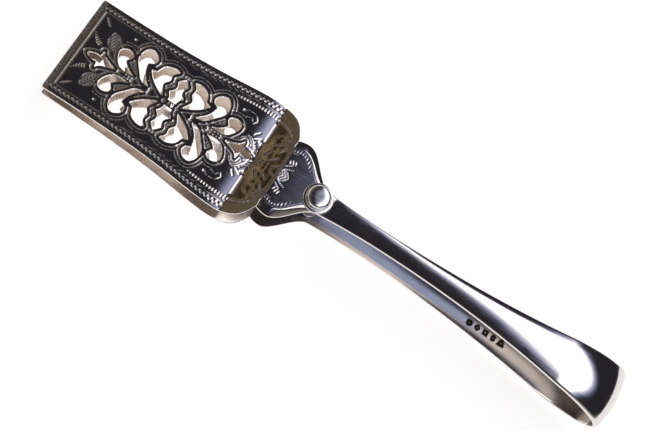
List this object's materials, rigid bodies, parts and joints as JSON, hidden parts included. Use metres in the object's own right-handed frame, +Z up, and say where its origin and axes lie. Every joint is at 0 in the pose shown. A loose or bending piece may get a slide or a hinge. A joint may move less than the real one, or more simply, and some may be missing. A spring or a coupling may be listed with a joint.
{
  "type": "serving tongs",
  "caption": "Silver serving tongs with wide pierced blades, domed arms, a spring bow, and a guide post with a domed stop button.",
  "frame": {"origin": "middle of the whole object: half way along it, on its plane of symmetry and half way between the two halves", "axes": "+X towards the bow, +Y across the blades, +Z up, the direction in which the arms are squeezed"},
  "size_m": [0.25, 0.0492, 0.0292],
  "materials": {
    "engraved_silver": "polished sterling silver, engraved, slightly oxidised in the cuts",
    "polished_silver": "polished sterling silver with fine hairline scratches",
    "button_silver": "worn polished sterling silver"
  },
  "bodies": {
    "lower_half": {"lower_blade": "engraved_silver", "lower_arm": "polished_silver", "bow_spring": "polished_silver", "guide_post": "polished_silver", "guide_collar": "polished_silver", "stop_ring": "polished_silver", "button_cap": "button_silver"},
    "upper_half": {"upper_blade": "engraved_silver", "upper_arm": "polished_silver"}
  },
  "joints": [
    {"name": "squeeze", "type": "hinge", "parent": "lower_half", "child": "upper_half", "pos_m": [0.111, 0, 0], "axis": [0, -1, 0], "range_deg": [0, 1.5], "stiffness_Nm_per_rad": 15, "springref_deg": -1.15, "deforming": ["bow_spring"]}
  ]
}
